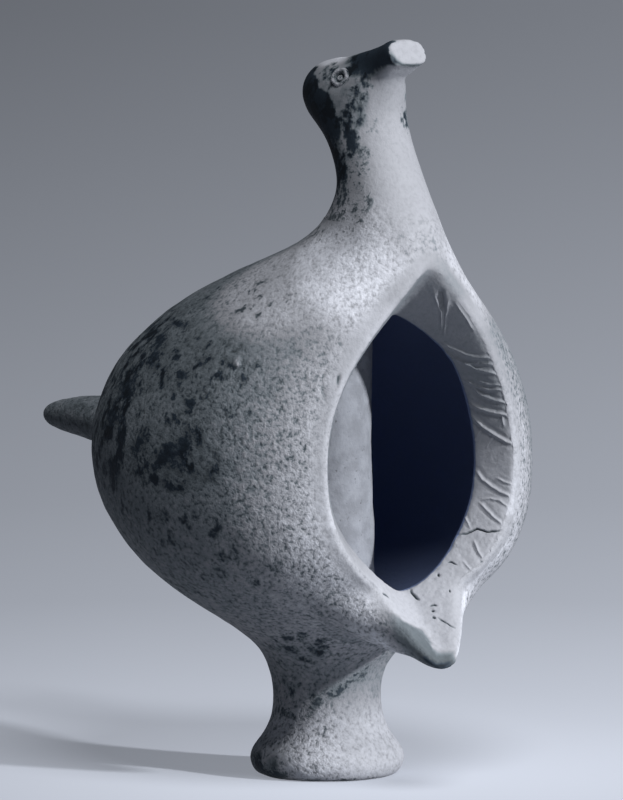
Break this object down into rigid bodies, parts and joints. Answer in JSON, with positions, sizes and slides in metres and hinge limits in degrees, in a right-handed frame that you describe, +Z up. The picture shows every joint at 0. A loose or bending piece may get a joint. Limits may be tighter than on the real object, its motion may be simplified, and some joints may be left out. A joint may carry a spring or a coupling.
{
  "type": "bird-shaped vessel",
  "caption": "Hollow clay vessel shaped as a bird on a stem foot, with a pointed opening in its breast, a bar bill, ring eyes and a tapering tail.",
  "frame": {"origin": "centre of the foot's flat underside, which stands on the surface", "axes": "+X towards the bird's breast and bill, +Y towards the bird's left side, +Z up through the stem to the head"},
  "size_m": [0.2113, 0.1308, 0.2216],
  "materials": {
    "foot_clay": "matt fired clay, pale slip with smoked patches",
    "body_clay": "matt fired clay, mottled from pale grey to smoke black",
    "inner_clay": "bare fired clay, smoothed by hand, with small pits",
    "neck_clay": "matt fired clay, pale slip",
    "tail_clay": "matt fired clay, smoked almost black"
  },
  "bodies": {
    "root": {"pedestal_foot": "foot_clay", "body_lower": "body_clay", "body_upper": "body_clay", "inner_column": "inner_clay", "breast_lip": "body_clay", "tail": "tail_clay", "neck": "neck_clay", "head": "neck_clay", "bill": "neck_clay", "eye_right": "neck_clay", "eye_left": "neck_clay"}
  },
  "joints": []
}
